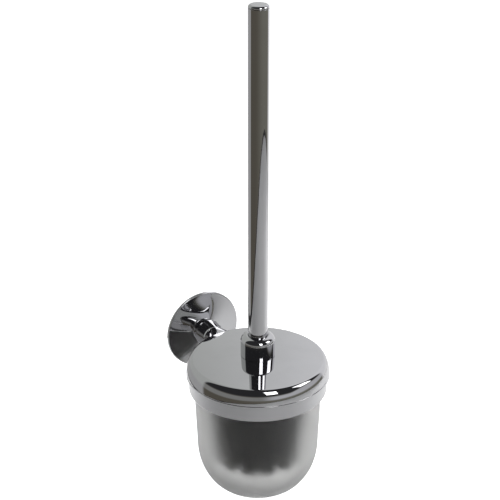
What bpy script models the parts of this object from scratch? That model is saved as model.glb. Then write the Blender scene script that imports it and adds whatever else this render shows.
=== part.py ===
"""Wall-mounted toilet brush set: rosette and arm, glass tumbler in a ring, and a lidded brush.

Metres, +Z up. The origin is the centre of the rosette's back face, which lies on the wall. The wall
is the plane y = 0 with the room on the -Y side, and +X is to the right for someone facing the wall.
"""

import math

import bmesh
import bpy
from mathutils import Matrix

MM = 0.001

# Driving dimensions, in millimetres. Heights in the tumbler group are above the seam between the
# lid and the ring; distances in the wall group are out from the wall.
GAP = 0.3               # left between pieces that touch
RUNNING = 0.4           # radial room round a piece that slides or passes through

RING_FROM_WALL = 35.0   # clear distance between the ring's band and the wall
SEAM_BELOW_ARM = 1.5    # the seam lies this far under the arm's axis

PLATE_R = 22.0
PLATE_T = 2.2
PLATE_BACK_T = 0.8
PLATE_HOLE_R = 2.4
PLATE_HOLE_PITCH = 28.0
POST_R = 7.0
POST_TAIL_R = 5.0
POST_END = 15.0
ROSETTE_R = 32.0
ROSETTE_RIM = 2.0
ROSETTE_RISE = 4.8
ROSETTE_WALL = 1.2
SLEEVE_WALL = 2.7
SLEEVE_FLARE = 1.2
SLEEVE_SHOULDER = 3.2
SLEEVE_END = 21.0
STUD_R = 3.0
STUD_IN_RING = 5.5
GRUB_R = 2.5
GRUB_FROM_WALL = 12.0
GRUB_SOCKET_R = 1.25
GRUB_SOCKET_DEPTH = 1.4

RING_R = 53.0
RING_TOP = 1.0
RING_H = 11.4
RING_WALL = 1.4
LEDGE_T = 3.0
LEDGE_W = 1.9
SADDLE_W = 18.0
SEAT_T = 1.2

GLASS_WALL = 3.0
GLASS_TAPER_H = 50.0
GLASS_TAPER = 2.1
GLASS_BOWL_H = 40.0
GLASS_BASE_R = 18.0
GLASS_BASE_T = 4.5
GLASS_RIM_H = 5.9

LID_OVERHANG = 2.0
LID_SKIRT_H = 4.5
LID_SHOULDER_W = 5.5
LID_SHOULDER_H = 9.6
LID_CROWN = 3.0
LID_WALL = 1.4
LINER_T = 2.0
LINER_SKIRT_H = 4.5
LINER_SKIRT_T = 2.0

ROD_R = 4.0
ROD_THREAD_R = 3.0
WASHER_R = 9.0
WASHER_T = 1.2
NUT_AF = 13.0
NUT_H = 5.0
COLLAR_WALL = 5.4
COLLAR_H = 16.4
COLLAR_SHOULDER = 5.0
HANDLE_R = 7.5
HANDLE_WALL = 1.0
HANDLE_LENGTH = 258.0
HANDLE_IN_COLLAR = 4.6
CAP_T = 2.2
CAP_SPIGOT = 9.0
INSERT_L = 20.0

CORE_TOP_R = 9.0
CORE_R = 8.0
CORE_NECK_H = 6.0
CORE_L = 59.0
CORE_BELOW_LINER = 6.0
BRISTLE_ROWS = 6
BRISTLE_R = 34.0
BRISTLE_END_R = 33.0
BRISTLE_TUFTS = 12
ROW_T = 5.0
ROW_PITCH = 9.4
ROW_ROOT_T = 3.2
TIP_DEPTH = 5.0
TIP_R = 22.0

# Places worked out from the sizes above.
SEAM_Z = -SEAM_BELOW_ARM
AXIS_FROM_WALL = RING_FROM_WALL + RING_R
ROSETTE_TOP = ROSETTE_RIM + ROSETTE_RISE
SLEEVE_END_R = POST_R + GAP + SLEEVE_WALL
SLEEVE_ROOT_R = SLEEVE_END_R + SLEEVE_FLARE
SLEEVE_START = ROSETTE_TOP + GAP
SADDLE_START = SLEEVE_END + GAP
RING_BOTTOM = RING_TOP - RING_H
LEDGE_TOP = RING_BOTTOM + LEDGE_T
RING_INNER_R = RING_R - RING_WALL
LEDGE_INNER_R = RING_INNER_R - LEDGE_W
SEAT_BOTTOM = LEDGE_TOP + GAP
SEAT_TOP = SEAT_BOTTOM + SEAT_T
RIM_BOTTOM = SEAT_TOP + GAP
RIM_TOP = RIM_BOTTOM + GLASS_RIM_H
RIM_R = RING_INNER_R - 2 * GAP
GLASS_R = LEDGE_INNER_R - 2 * GAP
TAPER_END = RIM_BOTTOM - GLASS_TAPER_H
GLASS_BOTTOM = TAPER_END - GLASS_BOWL_H
LINER_BOTTOM = RIM_TOP + GAP
LINER_TOP = LINER_BOTTOM + LINER_T
LID_R = RING_R + LID_OVERHANG
LID_BOTTOM = RING_TOP + 0.5
SHOULDER_START = LID_BOTTOM + LID_SKIRT_H
SHOULDER_TOP = SHOULDER_START + LID_SHOULDER_H
LID_TOP = SHOULDER_TOP + LID_CROWN
COLLAR_R = HANDLE_R + GAP + COLLAR_WALL
COLLAR_BOTTOM = LID_TOP + GAP
COLLAR_TOP = COLLAR_BOTTOM + COLLAR_H
HANDLE_BOTTOM = COLLAR_TOP - HANDLE_IN_COLLAR
HANDLE_TOP = HANDLE_BOTTOM + HANDLE_LENGTH
INSERT_BOTTOM = HANDLE_BOTTOM + 1.0
WASHER_TOP = LINER_BOTTOM - GAP
NUT_TOP = WASHER_TOP - WASHER_T - GAP
NUT_BOTTOM = NUT_TOP - NUT_H
CORE_TOP = NUT_BOTTOM - CORE_BELOW_LINER
CORE_BOTTOM = CORE_TOP - CORE_L
ROD_SHOULDER_TOP = HANDLE_BOTTOM - GAP
ROD_TOP = INSERT_BOTTOM + INSERT_L - 2.0
ROD_BOTTOM = CORE_TOP - 24.0
FIRST_ROW = CORE_TOP - CORE_NECK_H - ROW_T / 2

FINE = 48
MEDIUM = 32
SMALL = 20

CHROME = (0.62, 0.63, 0.64, 1.0)
STEEL = (0.52, 0.52, 0.53, 1.0)
SATIN_GLASS = (0.80, 0.82, 0.82, 1.0)
WHITE_PLASTIC = (0.78, 0.78, 0.76, 1.0)
DARK_PLASTIC = (0.035, 0.036, 0.040, 1.0)
BRISTLE_GREY = (0.030, 0.031, 0.035, 1.0)


def clear_scene():
    """Remove what the scene holds and make the two collections."""
    for obj in list(bpy.data.objects):
        bpy.data.objects.remove(obj, do_unlink=True)
    parts = bpy.data.collections.new("toilet_brush_set")
    cutters = bpy.data.collections.new("cutters")
    for collection in (parts, cutters):
        bpy.context.scene.collection.children.link(collection)
    return parts, cutters


def material(name, color, roughness, metallic):
    made = bpy.data.materials.get(name)
    if made is None:
        made = bpy.data.materials.new(name)
        made.use_nodes = True
        shader = made.node_tree.nodes["Principled BSDF"]
        shader.inputs["Base Color"].default_value = color
        shader.inputs["Roughness"].default_value = roughness
        shader.inputs["Metallic"].default_value = metallic
    return made


def chrome():
    return material("chrome", CHROME, 0.05, 1.0)


def steel():
    return material("steel", STEEL, 0.3, 1.0)


def white_plastic():
    return material("white_plastic", WHITE_PLASTIC, 0.45, 0.0)


def dark_plastic():
    return material("dark_plastic", DARK_PLASTIC, 0.5, 0.0)


def bristle():
    return material("bristle", BRISTLE_GREY, 0.7, 0.0)


def axis_empty(name, place, turn=(0.0, 0.0, 0.0)):
    """A parent for pieces turned about one axis; place is in millimetres."""
    empty = bpy.data.objects.new(name, None)
    empty.location = [value * MM for value in place]
    empty.rotation_euler = turn
    PARTS.objects.link(empty)
    return empty


def add(name, mesh, finish, parent, collection=None):
    obj = bpy.data.objects.new(name, mesh)
    (collection or PARTS).objects.link(obj)
    obj.parent = parent
    if finish is not None:
        mesh.materials.append(finish)
    return obj


def turned(name, profile, finish, parent, steps=MEDIUM, collection=None):
    """A solid of revolution about the parent's Z axis.

    The profile is (radius, height) in millimetres, down the outer side and back up the inner one. It
    is closed unless it starts on the axis.
    """
    mesh = bpy.data.meshes.new(name)
    points = [(radius * MM, 0.0, height * MM) for radius, height in profile]
    edges = [(i, i + 1) for i in range(len(points) - 1)]
    if profile[0][0] > 0:
        edges.append((len(points) - 1, 0))
    mesh.from_pydata(points, edges, [])
    obj = add(name, mesh, finish, parent, collection)
    screw = obj.modifiers.new("turn", "SCREW")
    screw.axis = "Z"
    screw.angle = 2 * math.pi
    screw.steps = steps
    screw.render_steps = steps
    screw.use_merge_vertices = True
    screw.merge_threshold = 1e-6
    screw.use_smooth_shade = True
    return obj


def arc(centre, radii, start, end, count):
    """Points on an ellipse arc between two angles in degrees, both ends included."""
    points = []
    for i in range(count + 1):
        angle = math.radians(start + (end - start) * i / count)
        points.append((centre[0] + radii[0] * math.cos(angle), centre[1] + radii[1] * math.sin(angle)))
    return points


def cutter_rod(name, radius, start, end, parent, steps=SMALL, turn=None):
    """A cylinder along the parent's Z axis from start to end, kept for Boolean cuts."""
    profile = [(0.0, end), (radius, end), (radius, start), (0.0, start)]
    obj = turned(name, profile, None, parent, steps, CUTTERS)
    obj.hide_render = True
    obj.display_type = "WIRE"
    if turn is not None:
        obj.matrix_local = turn
    return obj


def boolean(target, other, operation):
    modifier = target.modifiers.new(operation.lower(), "BOOLEAN")
    modifier.operation = operation
    modifier.solver = "EXACT"
    modifier.object = other


# Wall group: heights in these profiles are distances out from the wall.

def wall_plate(wall):
    """Disc that is screwed to the wall, with a blind seat for the post and two screw holes."""
    seat = POST_TAIL_R + GAP
    profile = [
        (0.0, PLATE_BACK_T),
        (seat, PLATE_BACK_T),
        (seat, PLATE_T),
        (PLATE_R, PLATE_T),
        (PLATE_R, 0.0),
        (0.0, 0.0),
    ]
    plate = turned("wall_plate", profile, steel(), wall)
    for side in (-1, 1):
        turn = Matrix.Translation((side * PLATE_HOLE_PITCH / 2 * MM, 0.0, 0.0))
        hole = cutter_rod(f"plate_hole_{side}", PLATE_HOLE_R, -1.0, PLATE_T + 1.0, wall, 24, turn)
        boolean(plate, hole, "DIFFERENCE")


def wall_post(wall):
    """Turned post that carries the arm, pressed into the plate by its tail."""
    shoulder = PLATE_T + GAP
    profile = [
        (0.0, POST_END),
        (POST_R - 0.6, POST_END),
        (POST_R, POST_END - 0.6),
        (POST_R, shoulder),
        (POST_TAIL_R, shoulder),
        (POST_TAIL_R, PLATE_BACK_T + GAP),
        (0.0, PLATE_BACK_T + GAP),
    ]
    turned("wall_post", profile, steel(), wall, SMALL)


def rosette_profile(offset):
    """Outer side of the rosette, moved inwards by offset: a low cone with a short straight rim."""
    hole = POST_R + RUNNING
    rim = ROSETTE_R - offset
    flank = [(hole, ROSETTE_TOP - offset)]
    for i in range(1, 6):
        share = i / 6
        radius = hole + (rim - hole) * share
        rise = ROSETTE_RISE * ((1 - share) ** 1.15)
        flank.append((radius, ROSETTE_RIM + rise - offset))
    return flank + [(rim - 0.4, ROSETTE_RIM + 0.2 - offset), (rim, ROSETTE_RIM - 0.3 - offset), (rim, 0.0)]


def rosette_cover(wall):
    """Chrome cover shell over the plate."""
    outer = rosette_profile(0.0)
    inner = rosette_profile(ROSETTE_WALL)
    turned("rosette_cover", outer + inner[::-1], chrome(), wall, FINE)


def arm_sleeve(wall):
    """Chrome sleeve over the post, clamped by the grub screw; its web takes the ring's stud."""
    bore = POST_R + GAP
    hole = STUD_R + GAP
    shoulder_centre = (SLEEVE_ROOT_R - SLEEVE_SHOULDER, SLEEVE_START + SLEEVE_SHOULDER)
    shoulder = arc(shoulder_centre, (SLEEVE_SHOULDER, SLEEVE_SHOULDER), 0, -90, 5)
    profile = [
        (SLEEVE_END_R - 0.4, SLEEVE_END),
        (SLEEVE_END_R, SLEEVE_END - 0.4),
        *shoulder,
        (bore, SLEEVE_START),
        (bore, POST_END + GAP),
        (hole, POST_END + GAP),
        (hole, SLEEVE_END),
    ]
    sleeve = turned("arm_sleeve", profile, chrome(), wall)
    turn = grub_frame()
    hole = cutter_rod("grub_hole", GRUB_R + GAP, 0.0, SLEEVE_ROOT_R + 2.0, wall, 24, turn)
    boolean(sleeve, hole, "DIFFERENCE")


def grub_frame():
    """Local frame of the grub screw: its Z axis runs down from the arm's axis."""
    turn = Matrix.Rotation(math.radians(90), 4, "X")
    return Matrix.Translation((0.0, 0.0, GRUB_FROM_WALL * MM)) @ turn


def grub_screw(wall):
    """Set screw under the sleeve, with its socket facing down."""
    start = POST_R + 0.2
    end = SLEEVE_END_R - 0.2
    socket_floor = end - GRUB_SOCKET_DEPTH
    profile = [
        (0.0, socket_floor),
        (GRUB_SOCKET_R, socket_floor),
        (GRUB_SOCKET_R, end),
        (GRUB_R - 0.3, end),
        (GRUB_R, end - 0.3),
        (GRUB_R, start + 0.4),
        (GRUB_R - 0.4, start),
        (0.0, start),
    ]
    screw = turned("grub_screw", profile, steel(), wall, 24)
    screw.matrix_local = grub_frame()


def arm_stud(wall):
    """Threaded stud that draws the ring against the sleeve."""
    start = POST_END + 2 * GAP
    end = SADDLE_START + STUD_IN_RING
    profile = [(0.0, end), (STUD_R, end), (STUD_R, start), (0.0, start)]
    turned("arm_stud", profile, steel(), wall, SMALL)


# Tumbler group: heights in these profiles are above the seam between the lid and the ring.

def saddle_section(share, count):
    """One section of the saddle, from the sleeve's round end (0) to the ring's band (1)."""
    ease = math.sin(min(share / 0.82, 1.0) * math.pi / 2)
    band_top = RING_TOP - 0.6 + SEAM_Z
    band_bottom = RING_BOTTOM + 0.6 + SEAM_Z
    top = SLEEVE_END_R + (band_top - SLEEVE_END_R) * ease
    bottom = -SLEEVE_END_R + (band_bottom + SLEEVE_END_R) * share
    half_width = SLEEVE_END_R + (SADDLE_W - SLEEVE_END_R) * share ** 2
    power = 2.0 / (2.0 + 1.6 * share)
    centre = (top + bottom) / 2
    half_height = (top - bottom) / 2
    reach_r = RING_R - RING_WALL / 2
    points = []
    for i in range(count):
        angle = 2 * math.pi * i / count
        across = math.copysign(abs(math.cos(angle)) ** power, math.cos(angle))
        up = math.copysign(abs(math.sin(angle)) ** power, math.sin(angle))
        x = half_width * across
        z = centre + half_height * up
        reach = AXIS_FROM_WALL - math.sqrt(reach_r ** 2 - x ** 2)
        out = SADDLE_START + (reach - SADDLE_START) * share
        points.append((x, -out, z))
    return points


def saddle_mesh(sections=8, count=24):
    """Closed loft from the sleeve's end into the band."""
    shape = bmesh.new()
    rings = []
    for step in range(sections + 1):
        section = saddle_section(step / sections, count)
        rings.append([shape.verts.new([value * MM for value in point]) for point in section])
    for first, second in zip(rings, rings[1:]):
        for i in range(count):
            j = (i + 1) % count
            shape.faces.new((first[i], first[j], second[j], second[i]))
    shape.faces.new(rings[0])
    shape.faces.new(rings[-1])
    bmesh.ops.triangulate(shape, faces=shape.faces[:])
    bmesh.ops.recalc_face_normals(shape, faces=shape.faces[:])
    mesh = bpy.data.meshes.new("saddle")
    shape.to_mesh(mesh)
    shape.free()
    return mesh


def holder_ring(wall, tumbler):
    """Ring with a ledge for the seat, cast in one with the saddle that meets the sleeve."""
    edge = 1.5
    profile = [
        (RING_INNER_R + 0.3, RING_TOP),
        (RING_R - 0.3, RING_TOP),
        (RING_R, RING_TOP - 0.3),
        *arc((RING_R - edge, RING_BOTTOM + edge), (edge, edge), 0, -90, 4),
        (LEDGE_INNER_R + 0.3, RING_BOTTOM),
        (LEDGE_INNER_R, RING_BOTTOM + 0.3),
        (LEDGE_INNER_R, LEDGE_TOP),
        (RING_INNER_R, LEDGE_TOP),
        (RING_INNER_R, RING_TOP - 0.3),
    ]
    ring = turned("holder_ring", profile, chrome(), tumbler, FINE)
    saddle = bpy.data.objects.new("saddle", saddle_mesh())
    CUTTERS.objects.link(saddle)
    saddle.hide_render = True
    saddle.display_type = "WIRE"
    boolean(ring, saddle, "UNION")
    depth = SADDLE_START + STUD_IN_RING + GAP
    hole = cutter_rod("stud_hole", STUD_R + GAP, SLEEVE_END - 1.0, depth, wall)
    boolean(ring, hole, "DIFFERENCE")


def seat_ring(tumbler):
    """Flat plastic washer between the ring's ledge and the glass."""
    inner = GLASS_R + GAP
    outer = RING_INNER_R - RUNNING
    profile = [(outer, SEAT_TOP), (outer, SEAT_BOTTOM), (inner, SEAT_BOTTOM), (inner, SEAT_TOP)]
    turned("seat_ring", profile, white_plastic(), tumbler, FINE)


def glass_tumbler(tumbler):
    """Tapered glass with a rim that hangs on the seat and a round bowl for a bottom."""
    low_r = GLASS_R - GLASS_TAPER
    bowl = arc((GLASS_BASE_R, TAPER_END), (low_r - GLASS_BASE_R, GLASS_BOWL_H), 0, -90, 8)
    inner_low_r = low_r - GLASS_WALL
    inner_floor = GLASS_BOTTOM + GLASS_BASE_T
    inner_base_r = GLASS_BASE_R - GLASS_WALL
    inner_bowl = arc(
        (inner_base_r, TAPER_END), (inner_low_r - inner_base_r, TAPER_END - inner_floor), -90, 0, 8
    )
    inner_top_r = GLASS_R - GLASS_WALL
    soft = 0.8
    outer = [(RIM_R - soft, RIM_TOP), (RIM_R, RIM_TOP - soft), (RIM_R, RIM_BOTTOM), (GLASS_R, RIM_BOTTOM)]
    inside = [(0.0, inner_floor), *inner_bowl, (inner_top_r, RIM_TOP - soft), (inner_top_r + soft, RIM_TOP)]
    profile = inside + outer + bowl + [(0.0, GLASS_BOTTOM)]
    finish = material("satin_glass", SATIN_GLASS, 0.5, 0.0)
    turned("glass_tumbler", profile, finish, tumbler, FINE)


def lid_profile(offset):
    """Outer side of the lid from the rod's hole down to the skirt's edge, moved inwards by offset."""
    hole = ROD_R + RUNNING
    flat_r = LID_R - LID_SHOULDER_W
    crown = []
    for i in range(5):
        radius = hole + (flat_r - hole) * i / 5
        crown.append((radius, LID_TOP - LID_CROWN * (radius / flat_r) ** 2 - offset))
    shoulder = arc(
        (flat_r, SHOULDER_START), (LID_SHOULDER_W - offset, LID_SHOULDER_H - offset), 90, 0, 7
    )
    return crown + shoulder


def lid_cap(tumbler):
    """Chrome lid: an almost flat top, a tall round shoulder and a beaded skirt."""
    groove = LID_BOTTOM + LID_SKIRT_H * 0.55
    bead = [
        (LID_R, groove + 0.5),
        (LID_R - 0.5, groove + 0.1),
        (LID_R - 0.5, groove - 0.3),
        (LID_R - 0.1, groove - 0.8),
        (LID_R - 0.1, LID_BOTTOM + 0.5),
        (LID_R - 0.5, LID_BOTTOM),
    ]
    inner = [(LID_R - LID_WALL, LID_BOTTOM)] + lid_profile(LID_WALL)[::-1]
    turned("lid_cap", lid_profile(0.0) + bead + inner, chrome(), tumbler, FINE)


def lid_liner(tumbler):
    """Plastic disc under the lid: a skirt centres it in the glass, a boss carries the lid's middle."""
    hole = ROD_R + RUNNING
    boss_r = hole + 3.6
    boss_top = LID_TOP - LID_WALL - GAP - 0.2
    flange_r = RING_INNER_R - RUNNING
    skirt_r = GLASS_R - GLASS_WALL - 2 * RUNNING
    skirt_bottom = LINER_BOTTOM - LINER_SKIRT_H
    profile = [
        (hole, boss_top),
        (boss_r, boss_top),
        (boss_r, LINER_TOP),
        (flange_r, LINER_TOP),
        (flange_r, LINER_BOTTOM),
        (skirt_r, LINER_BOTTOM),
        (skirt_r, skirt_bottom),
        (skirt_r - LINER_SKIRT_T, skirt_bottom),
        (skirt_r - LINER_SKIRT_T, LINER_BOTTOM),
        (hole, LINER_BOTTOM),
    ]
    turned("lid_liner", profile, white_plastic(), tumbler, FINE)


def lid_washer(tumbler):
    inner = ROD_R + RUNNING
    low = WASHER_TOP - WASHER_T
    profile = [(WASHER_R, WASHER_TOP), (WASHER_R, low), (inner, low), (inner, WASHER_TOP)]
    turned("lid_washer", profile, steel(), tumbler, SMALL)


def lid_nut(tumbler):
    """Hexagon nut that clamps the liner, lid and collar on the rod."""
    mesh = bpy.data.meshes.new("lid_nut")
    shape = bmesh.new()
    corner_r = NUT_AF / 2 / math.cos(math.pi / 6)
    bmesh.ops.create_cone(
        shape,
        cap_ends=True,
        segments=6,
        radius1=corner_r * MM,
        radius2=corner_r * MM,
        depth=NUT_H * MM,
        matrix=Matrix.Translation((0.0, 0.0, (NUT_TOP + NUT_BOTTOM) / 2 * MM)),
    )
    shape.to_mesh(mesh)
    shape.free()
    nut = add("lid_nut", mesh, steel(), tumbler)
    bore = cutter_rod("nut_bore", ROD_R + GAP, NUT_BOTTOM - 1.0, NUT_TOP + 1.0, tumbler)
    boolean(nut, bore, "DIFFERENCE")


def collar(tumbler):
    """Chrome collar on the lid, with a round shoulder and a socket for the handle tube."""
    hole = ROD_R + RUNNING
    socket = HANDLE_R + GAP
    edge = 0.8
    round_r = min(COLLAR_SHOULDER, COLLAR_WALL - 0.4)
    shoulder = arc((COLLAR_R - round_r, COLLAR_TOP - round_r), (round_r, round_r), 90, 0, 7)
    profile = [
        (socket, COLLAR_TOP),
        *shoulder,
        *arc((COLLAR_R - edge, COLLAR_BOTTOM + edge), (edge, edge), 0, -90, 3),
        (hole, COLLAR_BOTTOM),
        (hole, HANDLE_BOTTOM - GAP),
        (socket, HANDLE_BOTTOM - GAP),
    ]
    turned("collar", profile, chrome(), tumbler)


def handle_tube(tumbler):
    inner = HANDLE_R - HANDLE_WALL
    profile = [
        (HANDLE_R, HANDLE_TOP),
        (HANDLE_R, HANDLE_BOTTOM),
        (inner, HANDLE_BOTTOM),
        (inner, HANDLE_TOP),
    ]
    turned("handle_tube", profile, chrome(), tumbler)


def handle_cap(tumbler):
    """Plug in the tube's top end, with a soft edge."""
    low = HANDLE_TOP + GAP
    high = low + CAP_T
    spigot = HANDLE_R - HANDLE_WALL - GAP
    edge = arc((HANDLE_R - CAP_T + 0.4, low + 0.4), (CAP_T - 0.4, CAP_T - 0.6), 90, 0, 5)
    profile = [
        (0.0, high),
        *edge,
        (HANDLE_R, low),
        (spigot, low),
        (spigot, low - CAP_SPIGOT),
        (0.0, low - CAP_SPIGOT),
    ]
    turned("handle_cap", profile, chrome(), tumbler)


def handle_insert(tumbler):
    """Threaded bush in the tube's lower end, which the rod screws into."""
    outer = HANDLE_R - HANDLE_WALL - GAP
    bore = ROD_THREAD_R + GAP
    top = INSERT_BOTTOM + INSERT_L
    profile = [(outer, top), (outer, INSERT_BOTTOM), (bore, INSERT_BOTTOM), (bore, top)]
    turned("handle_insert", profile, steel(), tumbler, SMALL)


def brush_rod(tumbler):
    """Steel rod from the brush core up through the lid and collar into the handle."""
    profile = [
        (0.0, ROD_TOP),
        (ROD_THREAD_R, ROD_TOP),
        (ROD_THREAD_R, ROD_SHOULDER_TOP),
        (ROD_R, ROD_SHOULDER_TOP),
        (ROD_R, CORE_TOP + GAP),
        (ROD_THREAD_R, CORE_TOP + GAP),
        (ROD_THREAD_R, ROD_BOTTOM),
        (0.0, ROD_BOTTOM),
    ]
    turned("brush_rod", profile, steel(), tumbler, SMALL)


def brush_core(tumbler):
    """Plastic core that the tufts are set in, screwed on to the rod."""
    bore = ROD_THREAD_R + GAP
    neck_low = CORE_TOP - CORE_NECK_H
    bore_end = ROD_BOTTOM - GAP
    profile = [
        (0.0, bore_end),
        (bore, bore_end),
        (bore, CORE_TOP),
        (CORE_TOP_R - 1.0, CORE_TOP),
        (CORE_TOP_R, CORE_TOP - 1.0),
        (CORE_TOP_R, neck_low + 1.0),
        (CORE_R, neck_low),
        *arc((CORE_R - 4.0, CORE_BOTTOM + 4.0), (4.0, 4.0), 0, -90, 4),
        (0.0, CORE_BOTTOM),
    ]
    turned("brush_core", profile, dark_plastic(), tumbler, SMALL)


def tuft_row(index, tumbler):
    """One row of tufts: fingers that widen outwards from a band round the core."""
    share = index / (BRISTLE_ROWS - 1)
    reach = BRISTLE_R + (BRISTLE_END_R - BRISTLE_R) * share ** 2
    height = FIRST_ROW - index * ROW_PITCH
    root = CORE_R + GAP + ROW_ROOT_T
    step = 2 * math.pi / BRISTLE_TUFTS
    turn = step / 2 * (index % 2)
    outline = []
    for i in range(BRISTLE_TUFTS):
        middle = i * step + turn
        for radius, side in ((root, -0.25), (reach, -0.22), (reach, 0.22), (root, 0.25)):
            angle = middle + side * step
            outline.append((radius * math.cos(angle), radius * math.sin(angle)))
    name = f"bristle_row_{index + 1}"
    shape = bmesh.new()
    low = [shape.verts.new((x * MM, y * MM, (height - ROW_T / 2) * MM)) for x, y in outline]
    bottom = shape.faces.new(low[::-1])
    made = bmesh.ops.extrude_face_region(shape, geom=[bottom])
    lifted = [item for item in made["geom"] if isinstance(item, bmesh.types.BMVert)]
    bmesh.ops.translate(shape, verts=lifted, vec=(0.0, 0.0, ROW_T * MM))
    bmesh.ops.recalc_face_normals(shape, faces=shape.faces[:])
    mesh = bpy.data.meshes.new(name)
    shape.to_mesh(mesh)
    shape.free()
    row = add(name, mesh, bristle(), tumbler)
    bore = cutter_rod(
        f"row_bore_{index + 1}", CORE_R + GAP, height - ROW_T, height + ROW_T, tumbler
    )
    boolean(row, bore, "DIFFERENCE")


def bristle_tip(tumbler):
    """Short tufts round the core's lower end, as one cup."""
    last_low = FIRST_ROW - (BRISTLE_ROWS - 1) * ROW_PITCH - ROW_T / 2
    top = last_low - 1.0
    low = CORE_BOTTOM - TIP_DEPTH
    bore = CORE_R + GAP
    floor = CORE_BOTTOM - GAP
    profile = [
        (0.0, floor),
        (bore, floor),
        (bore, top),
        (TIP_R - 2.0, top),
        (TIP_R, top - 2.0),
        (TIP_R * 0.6, low),
        (0.0, low),
    ]
    turned("bristle_tip", profile, bristle(), tumbler)


PARTS, CUTTERS = clear_scene()


def main():
    wall = axis_empty("wall_axis", (0.0, 0.0, 0.0), (math.radians(90), 0.0, 0.0))
    tumbler = axis_empty("tumbler_axis", (0.0, -AXIS_FROM_WALL, SEAM_Z))
    bpy.context.view_layer.update()
    for make in (wall_plate, wall_post, rosette_cover, arm_sleeve, grub_screw, arm_stud):
        make(wall)
    holder_ring(wall, tumbler)
    for make in (seat_ring, glass_tumbler, lid_cap, lid_liner, lid_washer, lid_nut, collar):
        make(tumbler)
    for make in (handle_tube, handle_cap, handle_insert, brush_rod, brush_core, bristle_tip):
        make(tumbler)
    for index in range(BRISTLE_ROWS):
        tuft_row(index, tumbler)


main()
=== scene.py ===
"""Looks of a wall-mounted toilet brush set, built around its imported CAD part.

Polished chrome rosette, arm, ring, lid and handle, a satin glass tumbler and a dark brush in it.
"""

import math

import bmesh
import bpy
from bpy.props import FloatProperty, FloatVectorProperty, IntProperty, PointerProperty
from mathutils import Matrix, Vector


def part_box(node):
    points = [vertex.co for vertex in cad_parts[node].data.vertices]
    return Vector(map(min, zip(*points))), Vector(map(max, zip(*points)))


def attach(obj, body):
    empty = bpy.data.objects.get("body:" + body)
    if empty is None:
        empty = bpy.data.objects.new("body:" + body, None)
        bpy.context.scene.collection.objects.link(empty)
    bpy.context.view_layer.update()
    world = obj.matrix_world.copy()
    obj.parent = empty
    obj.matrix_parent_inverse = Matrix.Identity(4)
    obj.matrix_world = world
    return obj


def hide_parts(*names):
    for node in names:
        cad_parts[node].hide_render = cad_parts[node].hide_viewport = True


bl_info = {
    "name": "Toilet Brush Set",
    "version": (1, 0, 0),
    "blender": (4, 5, 0),
    "location": "3D View > Sidebar > Brush Set",
    "description": "Builds the chrome, glass and bristles of a wall-mounted toilet brush set",
    "category": "Object",
}

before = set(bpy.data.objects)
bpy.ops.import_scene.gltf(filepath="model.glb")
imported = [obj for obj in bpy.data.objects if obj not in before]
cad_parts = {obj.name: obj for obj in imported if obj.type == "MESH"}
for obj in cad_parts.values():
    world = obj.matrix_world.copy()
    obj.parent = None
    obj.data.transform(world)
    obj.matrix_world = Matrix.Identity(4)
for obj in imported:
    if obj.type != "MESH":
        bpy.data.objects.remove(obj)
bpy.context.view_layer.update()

# Lengths are in metres.
MM = 0.001
CLEAR = 0.3 * MM
ROSETTE_WALL = 1.2 * MM
ROSETTE_CLEAR = 0.4 * MM
SLEEVE_FLARE = 1.2 * MM
ROD_HOLE = 4.4 * MM
TUBE_WALL = 1.0 * MM
CAP_WALL = 1.3 * MM
CAP_LIP = 0.4 * MM
CORE_R = 8.0 * MM
SEAM_BELOW_COLLAR = 18.9 * MM

# Bristle rows of the CAD part, which the bristles here stand for.
CAD_ROWS = 6

# Where the lid's groove lies, as a share of its skirt.
GROOVE_SHARE = 0.55

# Facets round a full turn.
WIDE_FACETS = 256
BROAD_FACETS = 192
SLIM_FACETS = 160
TUBE_FACETS = 128
FLOOR_FACETS = 128
SCREW_FACETS = 48

# Degrees between two faces over which their edge is shown sharp.
SHARP_ANGLE = 32.0
GLASS_SHARP_ANGLE = 60.0

# Points nearer than this are one point, and a radius under this is on the axis.
SAME_POINT = 1e-7
ON_AXIS = 1e-6


def middle(node):
    low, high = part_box(node)
    return (low + high) / 2


def radius(node):
    low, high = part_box(node)
    return (high.x - low.x) / 2


AXIS = Vector((middle("glass_tumbler").x, middle("glass_tumbler").y, 0.0))
ARM = middle("arm_sleeve")


# Sizes and finishes that a user would change.

def length(name, text, millimetres):
    value = millimetres * MM
    return FloatProperty(name=name, description=text, default=value, min=0.0, unit="LENGTH", precision=4)


def colour(name, text, value):
    limits = {"size": 3, "min": 0.0, "max": 1.0, "subtype": "COLOR"}
    return FloatVectorProperty(name=name, description=text, default=value, **limits)


def share(name, text, value):
    return FloatProperty(name=name, description=text, default=value, min=0.0, max=1.0, subtype="FACTOR")


def degrees(name, text, value):
    angle = math.radians(value)
    return FloatProperty(name=name, description=text, default=angle, subtype="ANGLE", unit="ROTATION")


def count(name, text, value, low, high):
    return IntProperty(name=name, description=text, default=value, min=low, max=high)


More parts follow.
